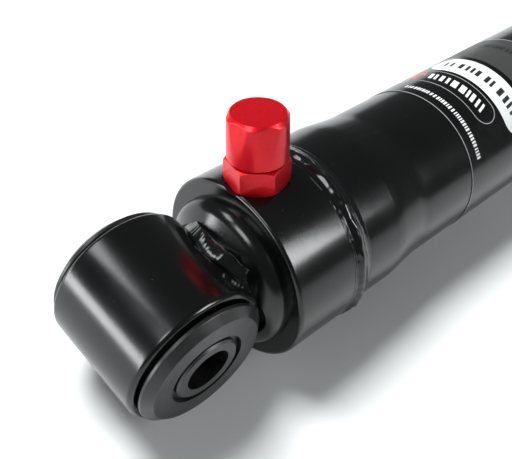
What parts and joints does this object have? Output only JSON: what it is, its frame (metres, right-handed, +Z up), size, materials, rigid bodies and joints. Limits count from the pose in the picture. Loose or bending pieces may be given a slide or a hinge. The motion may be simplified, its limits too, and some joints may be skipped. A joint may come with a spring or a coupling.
{
  "type": "telescopic hydraulic damper",
  "caption": "Gas-charged telescopic hydraulic damper with rubber-bushed eyes at both ends, sliding chrome rod and a capped charging valve.",
  "frame": {"origin": "centre of the lower eye's bore", "axes": "+X along the damper towards the rod, +Y along both eye bores, +Z up on the side of the charging valve"},
  "size_m": [0.6196, 0.0618, 0.0831],
  "materials": {
    "black_paint": "satin black powder coat",
    "painted_weld": "glossy black over a weld bead",
    "bush_rubber": "satin moulded rubber",
    "phosphated_steel": "dark phosphated steel",
    "printed_label": "black film with grey and white print",
    "red_anodised": "red anodised, fine blasted satin",
    "seal_rubber": "matt nitrile",
    "wiper_rubber": "matt polyurethane",
    "brass": "turned",
    "spring_steel": "blued spring steel",
    "guide_aluminium": "turned",
    "bearing_bronze": "sintered bronze",
    "bearing_polymer": "filled bearing polymer",
    "chrome_rod": "hard chrome, ground and polished",
    "sintered_iron": "sintered iron",
    "zinc_steel": "zinc plated",
    "foam_rubber": "matt polyurethane foam"
  },
  "bodies": {
    "damper_body": {"lower_eye_barrel": "black_paint", "lower_eye_bush": "bush_rubber", "lower_eye_weld": "painted_weld", "base_boss": "black_paint", "base_collar": "black_paint", "collar_weld": "painted_weld", "body_tube": "black_paint", "body_label": "printed_label", "valve_base": "red_anodised", "valve_base_seal": "seal_rubber", "valve_core_housing": "brass", "valve_core_spring": "spring_steel", "rod_guide": "guide_aluminium", "guide_bush": "bearing_bronze", "guide_oring": "seal_rubber", "rod_seal": "seal_rubber", "retaining_ring": "spring_steel", "end_cap": "black_paint", "wiper_seal": "wiper_rubber"},
    "gas_piston": {"floating_piston": "guide_aluminium", "floating_piston_oring": "seal_rubber", "floating_piston_band": "bearing_polymer"},
    "piston_band": {"piston_band": "bearing_polymer"},
    "rod": {"piston_rod": "chrome_rod", "piston": "sintered_iron", "piston_nut": "zinc_steel", "backing_washer": "zinc_steel", "rebound_shims": "spring_steel", "compression_shims": "spring_steel", "shoulder_washer": "zinc_steel", "rebound_stop": "bearing_polymer", "bump_stop": "foam_rubber", "top_washer": "zinc_steel", "upper_eye_barrel": "black_paint", "upper_eye_weld": "painted_weld", "upper_eye_bush": "bush_rubber"},
    "lower_sleeve": {"lower_inner_sleeve": "phosphated_steel"},
    "upper_sleeve": {"upper_inner_sleeve": "phosphated_steel"},
    "cap_oring": {"valve_cap_oring": "seal_rubber"},
    "cap": {"valve_cap": "red_anodised"},
    "core_pin": {"valve_core_pin": "brass", "valve_core_seal": "seal_rubber"}
  },
  "joints": [
    {"name": "rod_slide", "type": "slide", "parent": "damper_body", "child": "piston_band", "axis": [1, 0, 0], "range_m": [-0.165, 0], "stiffness_N_per_m": 400, "springref_m": 0.45},
    {"name": "rod_turn", "type": "hinge", "parent": "piston_band", "child": "rod", "pos_m": [0.3, 0, 0], "axis": [1, 0, 0], "continuous": true},
    {"name": "floating_piston_slide", "type": "slide", "parent": "damper_body", "child": "gas_piston", "axis": [1, 0, 0], "range_m": [-0.0225, 0]},
    {"name": "lower_eye_pivot", "type": "hinge", "parent": "damper_body", "child": "lower_sleeve", "pos_m": [0, 0, 0], "axis": [0, 1, 0], "range_deg": [-20, 20], "stiffness_Nm_per_rad": 30},
    {"name": "upper_eye_pivot", "type": "hinge", "parent": "rod", "child": "upper_sleeve", "pos_m": [0.574, 0, 0], "axis": [0, 1, 0], "range_deg": [-20, 20], "stiffness_Nm_per_rad": 30},
    {"name": "cap_rise", "type": "slide", "parent": "damper_body", "child": "cap_oring", "axis": [0, 0.1925, 0.9813], "range_m": [0, 0.0091]},
    {"name": "cap_turn", "type": "hinge", "parent": "cap_oring", "child": "cap", "pos_m": [0.0383, 0.00866, 0.04416], "axis": [0, 0.1925, 0.9813], "range_deg": [0, 2160]},
    {"name": "core_pin_press", "type": "slide", "parent": "damper_body", "child": "core_pin", "axis": [0, -0.1925, -0.9813], "range_m": [0, 0.0012], "stiffness_N_per_m": 1500, "springref_m": -0.002, "deforming": ["valve_core_spring"]}
  ],
  "couplings": [
    {"joint": "floating_piston_slide", "follows": "rod_slide", "ratio": 0.1296},
    {"joint": "cap_rise", "follows": "cap_turn", "m_per_rad": 0.00023873}
  ]
}
